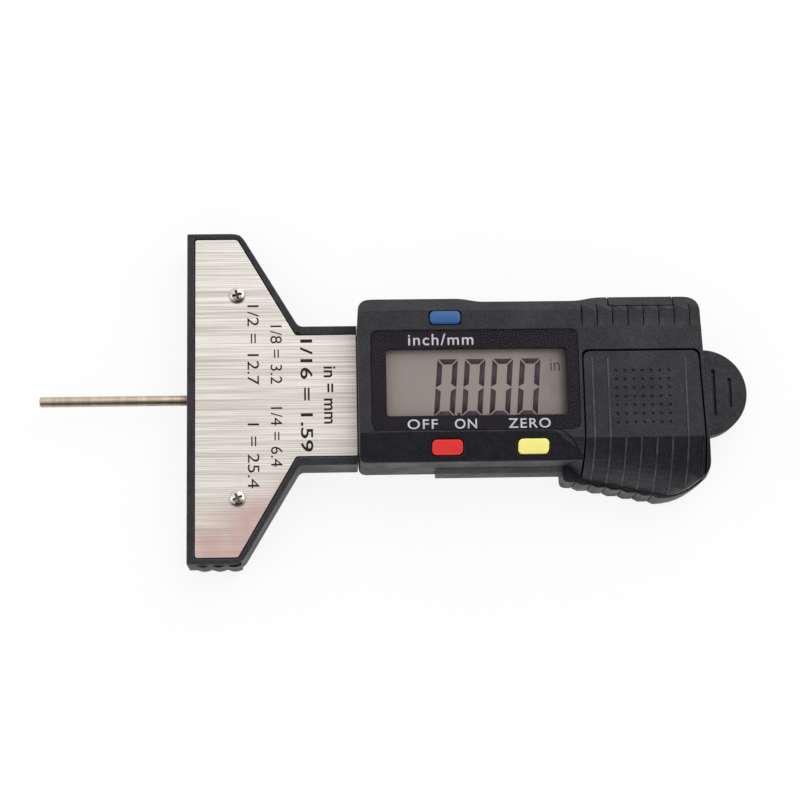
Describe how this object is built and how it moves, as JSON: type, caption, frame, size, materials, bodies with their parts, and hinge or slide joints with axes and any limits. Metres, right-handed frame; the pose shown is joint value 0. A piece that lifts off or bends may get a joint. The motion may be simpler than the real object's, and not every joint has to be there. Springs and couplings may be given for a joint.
{
  "type": "depth gauge",
  "caption": "Pocket digital depth gauge with a T-shaped foot, a thin sliding probe, a display head with coloured keys, a ribbed grip with a battery cover and a thumb tab.",
  "frame": {"origin": "centre of the gauge's length and of the foot's width, on the flat back", "axes": "+X from the probe towards the thumb tab, +Y along the foot, +Z from the back to the display"},
  "size_m": [0.1206, 0.0576, 0.0154],
  "materials": {
    "black_plastic": "fine moulded grain",
    "smooth_black": "smooth printed film",
    "clear_sheet": "clear polycarbonate sheet",
    "brushed_plate": "brushed along the gauge",
    "nickel_screws": "nickel plated",
    "probe_steel": "ground and polished",
    "spring_steel": "bright",
    "lcd_glass": "grey display glass",
    "white_plastic": "plain",
    "carbon_rubber": "matte",
    "board_green": "solder mask",
    "epoxy_black": "smooth",
    "cell_steel": "satin",
    "brass_contacts": "bright",
    "copper_scale": "printed copper on a strip",
    "blue_key": "satin",
    "red_key": "satin",
    "yellow_key": "satin"
  },
  "bodies": {
    "housing": {"main_frame": "black_plastic", "name_plate": "brushed_plate", "plate_screw_1": "nickel_screws", "plate_screw_2": "nickel_screws", "rear_case": "black_plastic", "front_case": "black_plastic", "case_screw_1": "nickel_screws", "case_screw_2": "nickel_screws", "case_screw_3": "nickel_screws", "case_screw_4": "nickel_screws", "panel_mask": "smooth_black", "panel_sheet": "clear_sheet", "display_glass": "lcd_glass", "display_reflector": "white_plastic", "display_holder": "white_plastic", "connector_strip": "carbon_rubber", "circuit_board": "board_green", "controller_chip": "epoxy_black", "coin_cell": "cell_steel", "contact_negative": "brass_contacts", "contact_positive": "brass_contacts", "friction_spring": "spring_steel", "unit_switch": "epoxy_black", "power_switch": "epoxy_black", "zero_switch": "epoxy_black"},
    "probe_carriage": {"slider": "black_plastic", "scale_strip": "copper_scale", "probe_rod": "probe_steel", "probe_set_screw": "spring_steel"},
    "unit_key": {"unit_button": "blue_key"},
    "power_key": {"power_button": "red_key"},
    "zero_key": {"zero_button": "yellow_key"},
    "battery_door": {"battery_cover": "black_plastic"},
    "port_door": {"port_cover": "black_plastic"}
  },
  "joints": [
    {"name": "probe_slide", "type": "slide", "parent": "housing", "child": "probe_carriage", "axis": [1, 0, 0], "range_m": [0, 0.0254]},
    {"name": "unit_press", "type": "slide", "parent": "housing", "child": "unit_key", "axis": [0, 0, -1], "range_m": [0, 0.0004], "stiffness_N_per_m": 400},
    {"name": "power_press", "type": "slide", "parent": "housing", "child": "power_key", "axis": [0, 0, -1], "range_m": [0, 0.0004], "stiffness_N_per_m": 400},
    {"name": "zero_press", "type": "slide", "parent": "housing", "child": "zero_key", "axis": [0, 0, -1], "range_m": [0, 0.0004], "stiffness_N_per_m": 400},
    {"name": "battery_door_slide", "type": "slide", "parent": "housing", "child": "battery_door", "axis": [0, -1, 0], "range_m": [0, 0.026]},
    {"name": "port_door_pull", "type": "slide", "parent": "housing", "child": "port_door", "axis": [0, 1, 0], "range_m": [0, 0.003]}
  ]
}
